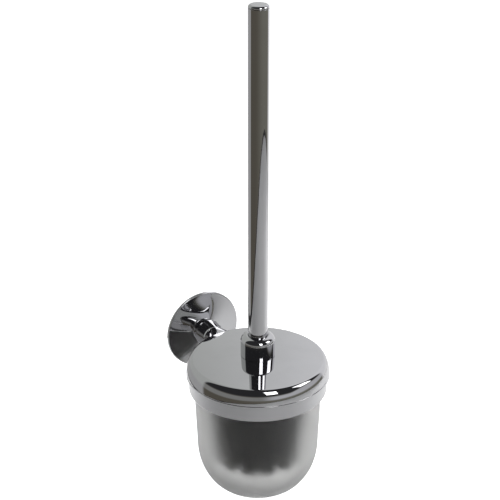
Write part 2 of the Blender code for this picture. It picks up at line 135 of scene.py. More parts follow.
class BrushSetSizes(bpy.types.PropertyGroup):
    edge: length("Edge Rounding", "Small rounding on the chrome pieces' edges", 0.35)
    metal: length("Metal Wall", "Wall of the pressed chrome pieces", 1.4)
    rosette_rim: length("Rosette Rim", "Height of the rosette's straight rim", 2.0)
    sleeve_shoulder: length("Sleeve Shoulder", "Rounding where the sleeve meets the rosette", 3.2)
    ledge: length("Ring Ledge", "Width of the ledge that carries the glass", 1.9)
    ledge_height: length("Ring Ledge Height", "Thickness of the ledge that carries the glass", 3.0)
    saddle: length("Saddle Half Width", "Half the width of the saddle at the ring", 18.0)
    lid_shoulder_width: length("Lid Shoulder Width", "How far the lid's shoulder reaches in", 5.5)
    lid_shoulder_height: length("Lid Shoulder Height", "Height of the lid's round shoulder", 9.6)
    lid_skirt: length("Lid Skirt", "Height of the lid's straight skirt", 4.5)
    lid_lean: degrees("Lid Lean", "Where the shoulder's arc stops short of upright", 13.0)
    lid_groove: length("Lid Groove", "Depth of the groove round the lid's skirt", 0.5)
    lid_crown: length("Lid Crown", "How far the lid's top rises in the middle", 3.0)
    collar_shoulder: length("Collar Shoulder", "Rounding of the collar's top", 5.0)
    glass_wall: length("Glass Wall", "Wall of the tumbler", 3.0)
    glass_base: length("Glass Base", "Thickness of the tumbler's bottom", 4.5)
    glass_taper: length("Glass Taper", "How much the tumbler narrows before its bowl", 2.1)
    glass_taper_height: length("Glass Taper Height", "Height of the tumbler's tapered part", 50.0)
    glass_foot: length("Glass Foot Radius", "Radius of the flat middle of the bottom", 18.0)
    glass_rim: length("Glass Rim Height", "Height of the rim that hangs on the seat", 5.9)
    rows: count("Bristle Rows", "Rows of tufts", 6, 1, 12)
    tufts: count("Tufts per Row", "Tufts in one row", 12, 3, 24)
    bristles: count("Bristles per Tuft", "Single bristles in one tuft", 90, 4, 160)
    bristle: length("Bristle Thickness", "Radius of one bristle", 0.3)
    seed: count("Seed", "Seed of the bristles' small differences", 7, 0, 1000)


class BrushSetFinishes(bpy.types.PropertyGroup):
    chrome: colour("Chrome", "Colour of the polished chrome", (0.60, 0.60, 0.615))
    chrome_gloss: share("Chrome Roughness", "Roughness of the polished chrome", 0.035)
    steel: colour("Steel", "Colour of the plain steel", (0.47, 0.47, 0.46))
    glass: colour("Glass", "Tint of the satin glass", (0.985, 0.985, 0.98))
    glass_frost: share("Glass Frost", "Roughness of the satin glass", 0.32)
    plastic: colour("White Plastic", "Colour of the liner and the seat", (0.80, 0.80, 0.77))
    core: colour("Brush Core", "Colour of the plastic core", (0.022, 0.022, 0.024))
    bristle: colour("Bristle", "Colour of the bristles", (0.014, 0.014, 0.015))


class BrushSetStage(bpy.types.PropertyGroup):
    azimuth: degrees("Camera Azimuth", "Turn of the camera round the set, from facing the wall", -30.8)
    pitch: degrees("Camera Pitch", "How far the camera looks down", 24.45)
    distance: length("Camera Distance", "Distance along the floor from the tumbler's axis", 1015.0)
    height: length("Camera Height", "Height of the camera over the ring", 567.0)
    aside: length("Camera Offset", "How far the camera stands left of the tumbler's axis", 6.0)
    lens: FloatProperty(name="Lens", description="Focal length", default=108.7, min=10.0, unit="CAMERA")
    floor: colour("Floor", "Colour of the floor and the table top", (0.80, 0.80, 0.80))
    floor_drop: length("Floor Drop", "How far the floor lies under the tumbler", 50.0)
    table_radius: length("Table Radius", "Radius of the round table top", 660.0)
    table_edge: colour("Table Edge", "Colour of the table's dark edge", (0.02, 0.02, 0.02))


def sizes():
    return bpy.context.scene.brush_set_sizes


def finishes():
    return bpy.context.scene.brush_set_finishes


def staging():
    return bpy.context.scene.brush_set_stage


# Node trees.

class Value:
    """A number in a node tree. Expressions on it add Math nodes."""

    def __init__(self, tree, socket):
        self.tree = tree
        self.socket = socket

    def math(self, operation, first, second=0.0):
        node = add_node(self.tree, "ShaderNodeMath", {"operation": operation}, {0: first, 1: second})
        return Value(self.tree, node.outputs[0])

    def __add__(self, other):
        return self.math("ADD", self, other)

    def __mul__(self, other):
        return self.math("MULTIPLY", self, other)

    __radd__ = __add__
    __rmul__ = __mul__

    def __sub__(self, other):
        return self.math("SUBTRACT", self, other)

    def __truediv__(self, other):
        return self.math("DIVIDE", self, other)

    def __rtruediv__(self, other):
        return self.math("DIVIDE", other, self)

    def ramp(self, start, end):
        """0 before start, 1 after end and smooth between. With end under start it falls instead."""
        settings = {"interpolation_type": "SMOOTHSTEP"}
        inputs = {0: self, 1: start, 2: end, 3: 0.0, 4: 1.0}
        node = add_node(self.tree, "ShaderNodeMapRange", settings, inputs)
        return Value(self.tree, node.outputs[0])

    def floor(self):
        return self.math("FLOOR", self)

    def modulo(self, other):
        return self.math("MODULO", self, other)

    def sine(self):
        return self.math("SINE", self)

    def cosine(self):
        return self.math("COSINE", self)


def add_node(tree, kind, settings=None, inputs=None):
    """Any node: its settings first, then the values or links of its sockets."""
    node = tree.nodes.new(kind)
    for name, value in (settings or {}).items():
        setattr(node, name, value)
    for key, value in (inputs or {}).items():
        socket = node.inputs[key]
        if isinstance(value, Value):
            tree.links.new(value.socket, socket)
        elif isinstance(value, bpy.types.NodeSocket):
            tree.links.new(value, socket)
        else:
            socket.default_value = value
    return node


def blend(tree, factor, first, second):
    """Two colours mixed by a factor."""
    node = add_node(tree, "ShaderNodeMix", {"data_type": "RGBA"}, {0: factor, 6: first, 7: second})
    return node.outputs[2]


def rgba(value, scale=1.0):
    return (value[0] * scale, value[1] * scale, value[2] * scale, 1.0)


def new_material(name):
    made = bpy.data.materials.new(name)
    made.use_nodes = True
    made.node_tree.nodes.clear()
    return made, made.node_tree


def finish_surface(tree, shader):
    add_node(tree, "ShaderNodeOutputMaterial", None, {"Surface": shader.outputs[0]})


def noise(tree, scale, detail=3.0, stretch=(1.0, 1.0, 1.0)):
    place = add_node(tree, "ShaderNodeTexCoord").outputs["Object"]
    stretched = add_node(tree, "ShaderNodeMapping", None, {"Vector": place, "Scale": stretch}).outputs[0]
    inputs = {"Vector": stretched, "Scale": scale, "Detail": detail}
    node = add_node(tree, "ShaderNodeTexNoise", None, inputs)
    return Value(tree, node.outputs[0])


def bump(tree, height, strength, distance):
    inputs = {"Height": height, "Strength": strength, "Distance": distance}
    return add_node(tree, "ShaderNodeBump", None, inputs).outputs[0]


def chrome_finish():
    """Mirror chrome with the faint cloudiness and fine polishing marks of a plated casting."""
    made, tree = new_material("polished_chrome")
    base = finishes().chrome
    cloud = noise(tree, 38.0)
    marks = noise(tree, 900.0, detail=2.0, stretch=(1.0, 1.0, 0.12))
    tint = blend(tree, cloud.ramp(0.35, 0.7), rgba(base), rgba(base, 0.96))
    rough = cloud * 0.02 + marks * 0.015 + (finishes().chrome_gloss - 0.017)
    shader = add_node(tree, "ShaderNodeBsdfPrincipled", None, {
        "Base Color": tint,
        "Metallic": 1.0,
        "Roughness": rough,
        "Normal": bump(tree, marks, 0.02, 0.02 * MM),
    })
    finish_surface(tree, shader)
    return made


def steel_finish():
    """Turned steel with fine tool marks and a dull patch here and there."""
    made, tree = new_material("turned_steel")
    base = finishes().steel
    marks = noise(tree, 600.0, detail=4.0, stretch=(0.2, 0.2, 3.0))
    patch = noise(tree, 60.0)
    tint = blend(tree, patch.ramp(0.4, 0.75), rgba(base), rgba(base, 0.82))
    shader = add_node(tree, "ShaderNodeBsdfPrincipled", None, {
        "Base Color": tint,
        "Metallic": 1.0,
        "Roughness": marks * 0.15 + 0.22,
        "Normal": bump(tree, marks, 0.12, 0.05 * MM),
    })
    finish_surface(tree, shader)
    return made


def glass_finish():
    """Satin-etched glass: clear body, finely frosted skin."""
    made, tree = new_material("satin_glass")
    frost = noise(tree, 1400.0, detail=2.0)
    cloud = noise(tree, 22.0)
    shader = add_node(tree, "ShaderNodeBsdfPrincipled", None, {
        "Base Color": rgba(finishes().glass),
        "Roughness": cloud * 0.06 + (finishes().glass_frost - 0.03),
        "IOR": 1.5,
        "Transmission Weight": 1.0,
        "Normal": bump(tree, frost, 0.05, 0.05 * MM),
    })
    finish_surface(tree, shader)
    return made


def plastic_finish(name, base, rough, grain):
    """Moulded plastic with a fine grain."""
    made, tree = new_material(name)
    fine = noise(tree, grain)
    cloud = noise(tree, 45.0)
    tint = blend(tree, cloud.ramp(0.3, 0.75), rgba(base), rgba(base, 0.9))
    shader = add_node(tree, "ShaderNodeBsdfPrincipled", None, {
        "Base Color": tint,
        "Roughness": fine * 0.12 + rough,
        "Normal": bump(tree, fine, 0.15, 0.06 * MM),
    })
    finish_surface(tree, shader)
    return made


def bristle_finish():
    """Dark nylon, a little lighter where the light grazes the bundles."""
    made, tree = new_material("dark_nylon")
    base = finishes().bristle
    streak = noise(tree, 420.0, detail=2.0)
    tint = blend(tree, streak.ramp(0.35, 0.7), rgba(base, 0.75), rgba(base, 1.35))
    shader = add_node(tree, "ShaderNodeBsdfPrincipled", None, {
        "Base Color": tint,
        "Roughness": streak * 0.2 + 0.32,
    })
    finish_surface(tree, shader)
    return made


def floor_finish(name, base, glow):
    """Matt surface; glow lifts the floor to the white of the backdrop."""
    made, tree = new_material(name)
    cloud = noise(tree, 3.0)
    tint = blend(tree, cloud.ramp(0.3, 0.7), rgba(base), rgba(base, 0.98))
    shader = add_node(tree, "ShaderNodeBsdfPrincipled", None, {
        "Base Color": tint,
        "Roughness": cloud * 0.1 + 0.75,
        "Emission Color": tint,
        "Emission Strength": glow,
    })
    finish_surface(tree, shader)
    return made


MAKERS = {
    "chrome": chrome_finish,
    "steel": steel_finish,
    "satin_glass": glass_finish,
    "clear_plastic": lambda: plastic_finish("white_plastic", finishes().plastic, rough=0.36, grain=900.0),
    "brush_core": lambda: plastic_finish("core_plastic", finishes().core, rough=0.34, grain=1100.0),
    "bristle": bristle_finish,
    "floor": lambda: floor_finish("pale_floor", staging().floor, glow=1.1),
    "table_top": lambda: floor_finish("pale_table", staging().floor, glow=0.0),
    "table_edge": lambda: floor_finish("dark_edge", staging().table_edge, glow=0.0),
}
MADE = {}


def material(slot):
    if slot not in MADE:
        MADE[slot] = MAKERS[slot]()
    return MADE[slot]


# Meshes.

def soften(corners, steps=6):
    """The (radius, height, rounding) corners of a profile with each rounding as an arc."""
    nearly_straight = math.radians(177)
    most_of_side = 0.45
    longest_hold, hold_share = 0.12 * MM, 0.1
    points = []
    for i, (x, z, rounding) in enumerate(corners):
        corner = Vector((x, z))
        before = Vector(corners[i - 1][:2]) - corner
        after = Vector(corners[(i + 1) % len(corners)][:2]) - corner
        if rounding <= 0 or before.length < SAME_POINT or after.length < SAME_POINT:
            points.append((x, z))
            continue
        angle = before.angle(after)
        if angle > nearly_straight:
            points.append((x, z))
            continue
        longest = most_of_side * min(before.length, after.length)
        back = min(rounding / math.tan(angle / 2), longest)
        round_r = back * math.tan(angle / 2)
        first = corner + before.normalized() * back
        last = corner + after.normalized() * back
        inwards = (before.normalized() + after.normalized()).normalized()
        centre = corner + inwards * round_r / math.sin(angle / 2)
        start, end = first - centre, last - centre
        turn = start.angle(end)
        hold = min(longest_hold, hold_share * before.length, hold_share * after.length)
        points.append(tuple(first + before.normalized() * hold))
        for k in range(steps + 1):
            part = k / steps
            swing = start * math.sin((1 - part) * turn) + end * math.sin(part * turn)
            points.append(tuple(centre + swing / math.sin(turn)))
        points.append(tuple(last + after.normalized() * hold))
    return points


def arc(centre, radii, start, end, steps):
    """Points along an ellipse's arc, from a start to an end angle in degrees."""
    points = []
    for i in range(steps + 1):
        angle = math.radians(start + (end - start) * i / steps)
        points.append((centre[0] + radii[0] * math.cos(angle), centre[1] + radii[1] * math.sin(angle)))
    return points


def plain(points):
    """Points as corners that have no rounding."""
    return [(x, z, 0.0) for x, z in points]


def keep_sharp(shape, limit):
    for edge in shape.edges:
        edge.smooth = edge.calc_face_angle(0.0) < math.radians(limit)


def shaded(shape, name, limit=SHARP_ANGLE):
    """The finished mesh: normals outwards, smooth, with its sharp edges kept sharp."""
    bmesh.ops.remove_doubles(shape, verts=shape.verts[:], dist=SAME_POINT)
    bmesh.ops.recalc_face_normals(shape, faces=shape.faces[:])
    for face in shape.faces:
        face.smooth = True
    keep_sharp(shape, limit)
    mesh = bpy.data.meshes.new(name)
    shape.to_mesh(mesh)
    shape.free()
    return mesh


def turned_shape(profile, steps, frame_matrix):
    """A closed solid of revolution about the Z axis of frame_matrix, from (radius, height) points."""
    shape = bmesh.new()
    loops = []
    for x, z in profile:
        if x < ON_AXIS:
            loops.append([shape.verts.new((0.0, 0.0, z))])
            continue
        angles = [2 * math.pi * i / steps for i in range(steps)]
        loops.append([shape.verts.new((x * math.cos(a), x * math.sin(a), z)) for a in angles])
    pairs = list(zip(loops, loops[1:]))
    if profile[0][0] >= ON_AXIS:
        pairs.append((loops[-1], loops[0]))
    for first, second in pairs:
        for i in range(steps):
            j = (i + 1) % steps
            if len(first) == 1 and len(second) == 1:
                break
            if len(first) == 1:
                shape.faces.new((first[0], second[i], second[j]))
            elif len(second) == 1:
                shape.faces.new((first[i], first[j], second[0]))
            else:
                shape.faces.new((first[i], first[j], second[j], second[i]))
    bmesh.ops.transform(shape, matrix=frame_matrix, verts=shape.verts[:])
    return shape


def piece(name, mesh, body, slot, *nodes):
    """A finished piece that rides a body and stands for CAD nodes."""
    made = bpy.data.objects.new(name, mesh)
    bpy.context.scene.collection.objects.link(made)
    if not mesh.materials:
        mesh.materials.append(material(slot))
    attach(made, body)
    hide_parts(*nodes)
    return made


def upright():
    """Frame on the tumbler's axis, with Z up."""
    return Matrix.Translation(AXIS)


def outward():
    """Frame on the wall: Z runs out from the wall along the arm's axis."""
    return Matrix.Translation((ARM.x, 0.0, ARM.z)) @ Matrix.Rotation(math.radians(90), 4, "X")


# Operators.

class BRUSHSET_OT_rosette(bpy.types.Operator):
    """Chrome rosette on the wall"""

    bl_idname = "brushset.rosette"
    bl_label = "Rosette"

    def execute(self, context):
        rim_r = radius("rosette_cover")
        top = -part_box("rosette_cover")[0].y
        rim = sizes().rosette_rim
        inner_r = rim_r - ROSETTE_WALL
        hole = radius("wall_post") + ROSETTE_CLEAR
        steps = 40
        flank_share = 0.985
        hollow = 1.15
        flank = []
        for i in range(1, steps + 1):
            part = i / steps * flank_share
            flank.append((hole + (rim_r - hole) * part, rim + (top - rim) * (1 - part) ** hollow))
        profile = [
            (hole, top, 0.0),
            *plain(flank),
            (rim_r, rim - 0.25 * MM, 0.5 * MM),
            (rim_r, 0.0, 0.1 * MM),
            (inner_r, 0.0, 0.1 * MM),
            (inner_r, rim - ROSETTE_WALL, 0.3 * MM),
            (hole, top - ROSETTE_WALL, 0.0),
        ]
        mesh = shaded(turned_shape(soften(profile), BROAD_FACETS, outward()), "rosette")
        piece("rosette", mesh, "wall_bracket", "chrome", "rosette_cover")
        return {"FINISHED"}


class BRUSHSET_OT_arm(bpy.types.Operator):
    """Chrome sleeve over the wall post"""

    bl_idname = "brushset.arm"
    bl_label = "Arm Sleeve"

    def execute(self, context):
        low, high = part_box("arm_sleeve")
        start, end = -high.y, -low.y
        root = radius("arm_sleeve")
        tip = root - SLEEVE_FLARE
        bore = radius("wall_post") + CLEAR
        stud = radius("arm_stud") + CLEAR
        stop = -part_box("wall_post")[0].y + CLEAR
        bend = sizes().sleeve_shoulder
        shoulder = arc((root - bend, start + bend), (bend, bend), 0, -90, 14)
        profile = [(tip, end, sizes().edge), *plain(shoulder), (bore, start, 0.1 * MM)]
        profile += [(bore, stop, 0.0), (stud, stop, 0.0), (stud, end, 0.1 * MM)]
        shape = turned_shape(soften(profile), SLIM_FACETS, outward())
        mesh = shaded(shape, "arm_sleeve_polished")
        made = piece("arm_sleeve_polished", mesh, "wall_bracket", "chrome", "arm_sleeve")
        self.drill(made)
        return {"FINISHED"}

    def drill(self, made):
        """Threaded hole under the sleeve for the grub screw."""
        screw_r = radius("grub_screw") + CLEAR
        place = middle("grub_screw")
        start = radius("wall_post") + 0.1 * MM
        end = radius("arm_sleeve") + 2 * MM
        turn = Matrix.Translation((place.x, place.y, ARM.z)) @ Matrix.Rotation(math.radians(180), 4, "X")
        profile = [(0.0, end), (screw_r, end), (screw_r, start), (0.0, start)]
        cut(made, shaded(turned_shape(profile, SCREW_FACETS, turn), "grub_hole"), "DIFFERENCE")


def cut(made, tool_mesh, operation):
    """A Boolean whose result becomes the piece's own mesh."""
    tool = bpy.data.objects.new(tool_mesh.name, tool_mesh)
    bpy.context.scene.collection.objects.link(tool)
    modifier = made.modifiers.new("cut", "BOOLEAN")
    modifier.operation = operation
    modifier.solver = "EXACT"
    modifier.object = tool
    bpy.context.view_layer.update()
    graph = bpy.context.evaluated_depsgraph_get()
    result = bpy.data.meshes.new_from_object(made.evaluated_get(graph))
    made.modifiers.clear()
    shape = bmesh.new()
    shape.from_mesh(result)
    keep_sharp(shape, SHARP_ANGLE)
    shape.to_mesh(result)
    shape.free()
    result.name = made.data.name + "_cut"
    made.data = result
    bpy.data.objects.remove(tool)


class BRUSHSET_OT_ring(bpy.types.Operator):
    """Chrome ring and the saddle that joins it to the arm"""

    bl_idname = "brushset.ring"
    bl_label = "Holder Ring"

    def execute(self, context):
        outer = radius("holder_ring")
        wall = sizes().metal
        inner = outer - wall
        ledge_r = inner - sizes().ledge
        top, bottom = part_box("holder_ring")[1].z, self.band_bottom()
        ledge_top = bottom + sizes().ledge_height
        profile = [
            (inner, top, 0.25 * MM),
            (outer, top, 0.3 * MM),
            (outer, bottom, 1.5 * MM),
            (ledge_r, bottom, 0.3 * MM),
            (ledge_r, ledge_top, 0.1 * MM),
            (inner, ledge_top, 0.0),
        ]
        shape = turned_shape(soften(profile, steps=9), WIDE_FACETS, upright())
        mesh = shaded(shape, "holder_ring_polished")
        made = piece("holder_ring_polished", mesh, "wall_bracket", "chrome", "holder_ring")
        cut(made, self.saddle_mesh(outer, top, bottom), "UNION")
        return {"FINISHED"}

    def band_bottom(self):
        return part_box("seat_ring")[0].z - CLEAR - sizes().ledge_height

    def section(self, part, outer, top, bottom, count):
        """One section of the saddle, from the sleeve's round end (0) to the band (1)."""
        inset = 0.6 * MM
        rise_share = 0.82
        squareness = 1.6
        tip = radius("arm_sleeve") - SLEEVE_FLARE
        start = -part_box("arm_sleeve")[0].y + CLEAR
        ease = math.sin(min(part / rise_share, 1.0) * math.pi / 2)
        high = tip + (top - inset - tip) * ease
        low = -tip + (bottom + inset + tip) * part
        half = tip + (sizes().saddle - tip) * part ** 2
        power = 2.0 / (2.0 + squareness * part)
        centre = (high + low) / 2
        reach_r = outer - sizes().metal / 2
        points = []
        for i in range(count):
            angle = 2 * math.pi * i / count
            across = math.copysign(abs(math.cos(angle)) ** power, math.cos(angle))
            up = math.copysign(abs(math.sin(angle)) ** power, math.sin(angle))
            x = half * across
            reach = -AXIS.y - math.sqrt(reach_r ** 2 - x ** 2)
            points.append((x, -(start + (reach - start) * part), centre + (high - low) / 2 * up))
        return points

    def saddle_mesh(self, outer, top, bottom, sections=36, count=112):
        """The closed saddle, skinned over its sections."""
        shape = bmesh.new()
        rings = []
        for step in range(sections + 1):
            points = self.section(step / sections, outer, top, bottom, count)
            rings.append([shape.verts.new(point) for point in points])
        for first, second in zip(rings, rings[1:]):
            for i in range(count):
                j = (i + 1) % count
                shape.faces.new((first[i], first[j], second[j], second[i]))
        shape.faces.new(rings[0])
        shape.faces.new(rings[-1])
        return shaded(shape, "saddle")


class BRUSHSET_OT_tumbler(bpy.types.Operator):
    """Satin glass tumbler"""

    bl_idname = "brushset.tumbler"
    bl_label = "Glass Tumbler"

    def execute(self, context):
        low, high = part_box("glass_tumbler")
        settings = sizes()
        rim_r = radius("glass_tumbler")
        body_r = rim_r - settings.ledge
        top, bottom = high.z, low.z
        rim_low = top - settings.glass_rim
        taper_end = rim_low - settings.glass_taper_height
        low_r = body_r - settings.glass_taper
        foot = settings.glass_foot
        wall = settings.glass_wall
        bowl = arc((foot, taper_end), (low_r - foot, taper_end - bottom), 0, -90, 40)
        floor = bottom + settings.glass_base
        inner_foot = foot - wall
        inner_radii = (low_r - wall - inner_foot, taper_end - floor)
        inner_bowl = arc((inner_foot, taper_end), inner_radii, -90, 0, 40)
        profile = [
            (0.0, floor, 0.0),
            *plain(inner_bowl),
            (body_r - wall, top, 0.8 * MM),
            (rim_r, top, 0.8 * MM),
            (rim_r, rim_low, 0.3 * MM),
            (body_r, rim_low, 0.1 * MM),
            *plain(bowl),
            (0.0, bottom, 0.0),
        ]
        shape = turned_shape(soften(profile), BROAD_FACETS, upright())
        mesh = shaded(shape, "tumbler_satin", GLASS_SHARP_ANGLE)
        piece("tumbler_satin", mesh, "tumbler", "satin_glass", "glass_tumbler")
        return {"FINISHED"}


class BRUSHSET_OT_lid(bpy.types.Operator):
    """Chrome lid with its round shoulder and beaded skirt"""

    bl_idname = "brushset.lid"
    bl_label = "Lid"

    def outline(self, offset):
        """Outer side from the rod's hole to the skirt's top, moved inwards by offset."""
        settings = sizes()
        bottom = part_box("lid_cap")[0].z
        flat_r = radius("lid_cap") - settings.lid_shoulder_width
        top = bottom + settings.lid_skirt + settings.lid_shoulder_height + settings.lid_crown
        start = bottom + settings.lid_skirt * GROOVE_SHARE + 0.4 * MM
        lean = math.degrees(settings.lid_lean)
        tall = (top - settings.lid_crown - start) / (1 - math.sin(settings.lid_lean))
        wide = settings.lid_shoulder_width / math.cos(settings.lid_lean)
        centre = (flat_r, top - settings.lid_crown - tall)
        steps = 39
        overlap = 0.1 * MM
        crown = []
        for i in range(steps + 1):
            place = ROD_HOLE + (flat_r + overlap - ROD_HOLE) * i / steps
            crown.append((place, top - settings.lid_crown * (place / flat_r) ** 2 - offset))
        return crown + arc(centre, (wide - offset, tall - offset), 85.0, lean, 30)

    def execute(self, context):
        settings = sizes()
        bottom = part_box("lid_cap")[0].z
        lid_r = radius("lid_cap")
        bead_r = lid_r - 0.05 * MM
        groove = bottom + settings.lid_skirt * GROOVE_SHARE
        deep = lid_r - settings.lid_groove
        profile = [
            *plain(self.outline(0.0)),
            (deep, groove + 0.2 * MM, 0.12 * MM),
            (deep, groove - 0.3 * MM, 0.15 * MM),
            (bead_r, groove - 0.5 * MM, 0.9 * MM),
            (bead_r, bottom, 1.1 * MM),
            (lid_r - settings.metal, bottom, 0.2 * MM),
            *plain(self.outline(settings.metal)[::-1]),
        ]
        mesh = shaded(turned_shape(soften(profile), WIDE_FACETS, upright()), "lid_polished")
        piece("lid_polished", mesh, "brush", "chrome", "lid_cap")
        return {"FINISHED"}


class BRUSHSET_OT_handle(bpy.types.Operator):
    """Chrome collar, handle tube and end cap"""

    bl_idname = "brushset.handle"
    bl_label = "Handle"

    def execute(self, context):
        self.collar()
        self.tube()
        self.cap()
        return {"FINISHED"}

    def collar(self):
        low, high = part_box("collar")
        outer = radius("collar")
        socket = radius("handle_tube") + CLEAR
        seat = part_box("handle_tube")[0].z - CLEAR
        bend = sizes().collar_shoulder
        shoulder = arc((outer - bend, high.z - bend), (bend, bend), 90, 0, 22)
        gap_to_lid = 0.35 * MM
        foot = low.z - gap_to_lid
        profile = [(socket, high.z, 0.1 * MM), *plain(shoulder), (outer, foot, 0.05 * MM)]
        profile += [(ROD_HOLE, foot, 0.0), (ROD_HOLE, seat, 0.0), (socket, seat, 0.0)]
        mesh = shaded(turned_shape(soften(profile), SLIM_FACETS, upright()), "collar_polished")
        piece("collar_polished", mesh, "brush", "chrome", "collar")

    def tube(self):
        low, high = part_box("handle_tube")
        outer = radius("handle_tube")
        inner = outer - TUBE_WALL
        edge = 0.15 * MM
        profile = [(outer, high.z, edge), (outer, low.z, edge), (inner, low.z, edge), (inner, high.z, edge)]
        mesh = shaded(turned_shape(soften(profile), TUBE_FACETS, upright()), "handle_tube_polished")
        piece("handle_tube_polished", mesh, "brush", "chrome", "handle_tube")

    def cap(self):
        low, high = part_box("handle_cap")
        outer = radius("handle_cap")
        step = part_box("handle_tube")[1].z + CLEAR
        spigot = outer - CAP_WALL
        bend = high.z - step - CAP_LIP
        edge = arc((outer - bend, high.z - bend), (bend, bend), 90, 0, 14)
        profile = [(0.0, high.z, 0.0), *plain(edge), (outer, step, 0.1 * MM)]
        profile += [(spigot, step, 0.0), (spigot, low.z, 0.3 * MM), (0.0, low.z, 0.0)]
        mesh = shaded(turned_shape(soften(profile), TUBE_FACETS, upright()), "handle_cap_polished")
        piece("handle_cap_polished", mesh, "brush", "chrome", "handle_cap")


class TuftTree:
    """Geometry Nodes tree: tufts of bristles set in rows round a core."""

    FLOATS = (
        "Root Radius",
        "Bristle Length",
        "Length Step",
        "Row Pitch",
        "First Row",
        "Spread",
        "Droop",
        "Droop Step",
        "Thickness",
    )
    COUNTS = ("Rows", "Tufts", "Bristles", "Seed")

    # The small differences between bristles, and how far a tuft is gathered at its root.
    DROOP_RANGE = 0.085
    HEIGHT_RANGE = 1.2 * MM
    SHORTEST = 0.93
    GATHERED = 0.35
    # Keeps a whole number from falling to the one below when it is rounded down.
    ROUNDING_GUARD = 0.0001

    def __init__(self):
        self.tree = bpy.data.node_groups.new("bristle_tufts", "GeometryNodeTree")
        face = self.tree.interface
        for name in self.FLOATS:
            face.new_socket(name=name, in_out="INPUT", socket_type="NodeSocketFloat")
        for name in self.COUNTS:
            face.new_socket(name=name, in_out="INPUT", socket_type="NodeSocketInt")
        face.new_socket(name="Material", in_out="INPUT", socket_type="NodeSocketMaterial")
        face.new_socket(name="Geometry", in_out="OUTPUT", socket_type="NodeSocketGeometry")
        self.given = self.tree.nodes.new("NodeGroupInput")
        self.build()

    def value(self, name):
        return Value(self.tree, self.given.outputs[name])

    def random(self, low, high, offset):
        seed = self.value("Seed") + offset
        node = add_node(self.tree, "FunctionNodeRandomValue", {"data_type": "FLOAT"}, {"Seed": seed})
        floats = [socket for socket in node.inputs if socket.type == "VALUE" and socket.enabled]
        floats[0].default_value = low
        floats[1].default_value = high
        out = [socket for socket in node.outputs if socket.type == "VALUE" and socket.enabled]
        return Value(self.tree, out[0])

    def combine(self, x, y, z):
        return add_node(self.tree, "ShaderNodeCombineXYZ", None, {0: x, 1: y, 2: z}).outputs[0]

    def build(self):
        tree = self.tree
        rows, tufts, bristles = self.value("Rows"), self.value("Tufts"), self.value("Bristles")
        index = Value(tree, add_node(tree, "GeometryNodeInputIndex").outputs[0])
        tuft = (index / bristles + self.ROUNDING_GUARD).floor()
        row = (tuft / tufts + self.ROUNDING_GUARD).floor()
        step = 2 * math.pi / tufts
        angle = tuft.modulo(tufts) * step + row.modulo(2.0) * step * 0.5
        swing = self.random(-1.0, 1.0, 1) * self.value("Spread") * step
        row_droop = self.value("Droop") + row * self.value("Droop Step")
        droop = row_droop + self.random(-self.DROOP_RANGE, self.DROOP_RANGE, 2)
        root = self.value("Root Radius")
        side = swing * self.GATHERED + angle
        away = angle + swing
        row_height = self.value("First Row") - row * self.value("Row Pitch")
        height = row_height + self.random(-self.HEIGHT_RANGE, self.HEIGHT_RANGE, 3)
        place = self.combine(root * side.cosine(), root * side.sine(), height)
        level = droop.cosine()
        heading = self.combine(away.cosine() * level, away.sine() * level, droop.sine() * -1.0)
        turning = {"Vector": heading}
        turn = add_node(tree, "FunctionNodeAlignRotationToVector", {"axis": "Z"}, turning).outputs[0]
        points = add_node(tree, "GeometryNodePoints", None, {
            "Count": rows * tufts * bristles,
            "Position": place,
        })
        stick = add_node(tree, "GeometryNodeMeshCylinder", {"fill_type": "NGON"}, {
            "Vertices": 5,
            "Radius": self.value("Thickness"),
            "Depth": 1.0,
        })
        lifted = add_node(tree, "GeometryNodeTransform", None, {
            "Geometry": stick.outputs[0],
            "Translation": (0.0, 0.0, 0.5),
        })
        length = self.value("Bristle Length") + row * self.value("Length Step")
        reach = length * self.random(self.SHORTEST, 1.0, 4)
        size = self.combine(1.0, 1.0, reach)
        copies = add_node(tree, "GeometryNodeInstanceOnPoints", None, {
            "Points": points.outputs[0],
            "Instance": lifted.outputs[0],
            "Rotation": turn,
            "Scale": size,
        })
        real = add_node(tree, "GeometryNodeRealizeInstances", None, {"Geometry": copies.outputs[0]})
        dressed = add_node(tree, "GeometryNodeSetMaterial", None, {
            "Geometry": real.outputs[0],
            "Material": self.given.outputs["Material"],
        })
        add_node(tree, "NodeGroupOutput", None, {0: dressed.outputs[0]})

    def mesh(self, name, values):
        """A plain mesh of the tufts with these input values."""
        holder = bpy.data.objects.new(name, bpy.data.meshes.new(name))
        bpy.context.scene.collection.objects.link(holder)
        modifier = holder.modifiers.new("tufts", "NODES")
        modifier.node_group = self.tree
        for item in self.tree.interface.items_tree:
            if item.in_out == "INPUT":
                modifier[item.identifier] = values[item.name]
        bpy.context.view_layer.update()
        graph = bpy.context.evaluated_depsgraph_get()
        mesh = bpy.data.meshes.new_from_object(holder.evaluated_get(graph))
        bpy.data.objects.remove(holder)
        mesh.name = name
        mesh.transform(Matrix.Translation(AXIS))
        return mesh


